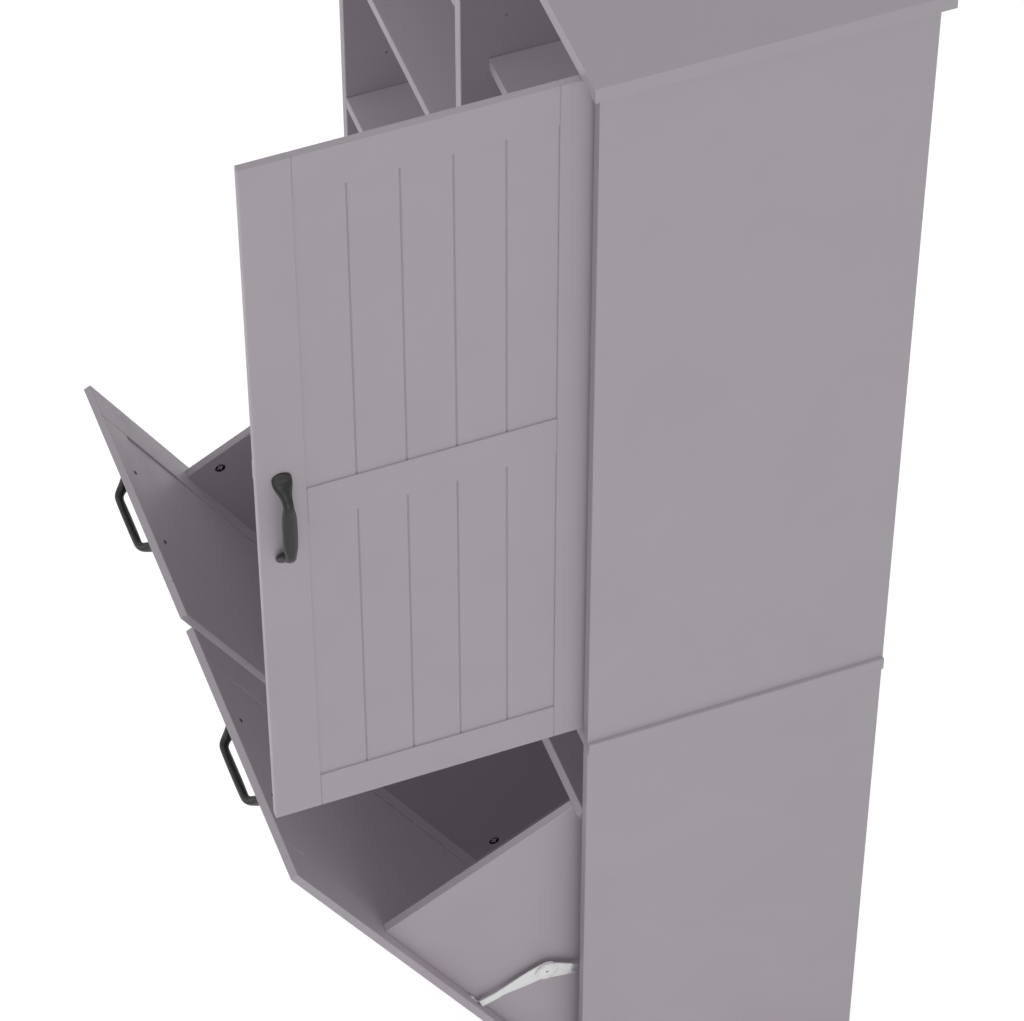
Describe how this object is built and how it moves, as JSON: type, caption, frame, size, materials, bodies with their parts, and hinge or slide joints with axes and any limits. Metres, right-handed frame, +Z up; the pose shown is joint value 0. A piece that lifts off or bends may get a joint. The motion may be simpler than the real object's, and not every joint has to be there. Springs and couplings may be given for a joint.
{
  "type": "laundry cabinet",
  "caption": "Tall bathroom cabinet with open shelves, a framed plank door over shelves, and tilt-out laundry hampers below, held by folding stays.",
  "frame": {"origin": "on the floor under the middle of the cabinet, at the underside of the centre support", "axes": "+Z up, -Y to the front, +X to the right as seen from the front"},
  "size_m": [0.934, 0.802, 2.014],
  "materials": {
    "painted_board": "satin mauve-grey paint",
    "back_panel": "satin mauve-grey paint on thin board",
    "black_metal": "satin black powder coat",
    "dark_fitting": "dark zinc",
    "zinc_steel": "zinc plate",
    "hinge_steel": "nickel plate",
    "stay_steel": "pale grey coated steel",
    "catch_plastic": "matte"
  },
  "bodies": {
    "cabinet": {"top_board": "painted_board", "mid_board": "painted_board", "bottom_board": "painted_board", "plinth": "painted_board", "centre_support": "painted_board", "upper_side_left": "painted_board", "upper_side_right": "painted_board", "lower_side_left": "painted_board", "lower_side_right": "painted_board", "upper_divider": "painted_board", "lower_divider": "painted_board", "upper_back": "back_panel", "lower_back": "back_panel", "shelf_left_low": "painted_board", "shelf_left_middle": "painted_board", "shelf_left_high": "painted_board", "shelf_right_low": "painted_board", "shelf_right_high": "painted_board", "shelf_pins": "zinc_steel", "wall_rail": "painted_board", "door_hinge_arms": "hinge_steel", "door_hinge_plates": "hinge_steel", "door_catch": "catch_plastic", "hamper_hinge_bases": "zinc_steel", "stay_side_brackets": "zinc_steel"},
    "door": {"door_stile_hinge": "painted_board", "door_stile_free": "painted_board", "door_rail_top": "painted_board", "door_rail_middle": "painted_board", "door_rail_bottom": "painted_board", "door_panel_upper": "painted_board", "door_panel_lower": "painted_board", "door_handle": "black_metal", "door_handle_screws": "black_metal", "door_hinge_cups": "hinge_steel", "door_strike": "zinc_steel"},
    "left_hamper": {"left_front_stiles": "painted_board", "left_front_rails": "painted_board", "left_front_panel": "painted_board", "left_bin_walls": "painted_board", "left_bin_back": "painted_board", "left_bin_floor": "painted_board", "left_handle": "black_metal", "left_fasteners": "dark_fitting", "left_hinge_leaves": "zinc_steel", "left_stay_hooks": "zinc_steel"},
    "left_stay_front": {"left_stay_front_arms": "stay_steel"},
    "left_stay_rear": {"left_stay_rear_arms": "stay_steel"},
    "right_hamper": {"right_front_stiles": "painted_board", "right_front_rails": "painted_board", "right_front_panel": "painted_board", "right_bin_walls": "painted_board", "right_bin_back": "painted_board", "right_bin_floor": "painted_board", "right_handle": "black_metal", "right_fasteners": "dark_fitting", "right_hinge_leaves": "zinc_steel", "right_stay_hooks": "zinc_steel"},
    "right_stay_front": {"right_stay_front_arms": "stay_steel"},
    "right_stay_rear": {"right_stay_rear_arms": "stay_steel"}
  },
  "joints": [
    {"name": "door_swing", "type": "hinge", "parent": "cabinet", "child": "door", "pos_m": [0.418, -0.1885, 1.4275], "axis": [0, 0, 1], "range_deg": [-90, 10]},
    {"name": "left_hamper_tilt", "type": "hinge", "parent": "cabinet", "child": "left_hamper", "pos_m": [-0.222, -0.2015, 0.071], "axis": [1, 0, 0], "range_deg": [-30, 0]},
    {"name": "left_stay_front_pivot", "type": "hinge", "parent": "left_hamper", "child": "left_stay_front", "pos_m": [-0.222, -0.32497, 0.33285], "axis": [1, 0, 0], "range_deg": [-1, 75.5]},
    {"name": "left_stay_rear_pivot", "type": "hinge", "parent": "cabinet", "child": "left_stay_rear", "pos_m": [-0.222, -0.1265, 0.322], "axis": [1, 0, 0], "range_deg": [-65, 1]},
    {"name": "right_hamper_tilt", "type": "hinge", "parent": "cabinet", "child": "right_hamper", "pos_m": [0.222, -0.2015, 0.071], "axis": [1, 0, 0], "range_deg": [-30, 0]},
    {"name": "right_stay_front_pivot", "type": "hinge", "parent": "right_hamper", "child": "right_stay_front", "pos_m": [0.222, -0.32497, 0.33285], "axis": [1, 0, 0], "range_deg": [-1, 75.5]},
    {"name": "right_stay_rear_pivot", "type": "hinge", "parent": "cabinet", "child": "right_stay_rear", "pos_m": [0.222, -0.1265, 0.322], "axis": [1, 0, 0], "range_deg": [-65, 1]}
  ],
  "couplings": [
    {"joint": "left_stay_front_pivot", "follows": "left_hamper_tilt", "ratio": -2.4968},
    {"joint": "left_stay_rear_pivot", "follows": "left_hamper_tilt", "ratio": 2.147},
    {"joint": "right_stay_front_pivot", "follows": "right_hamper_tilt", "ratio": -2.4968},
    {"joint": "right_stay_rear_pivot", "follows": "right_hamper_tilt", "ratio": 2.147}
  ]
}
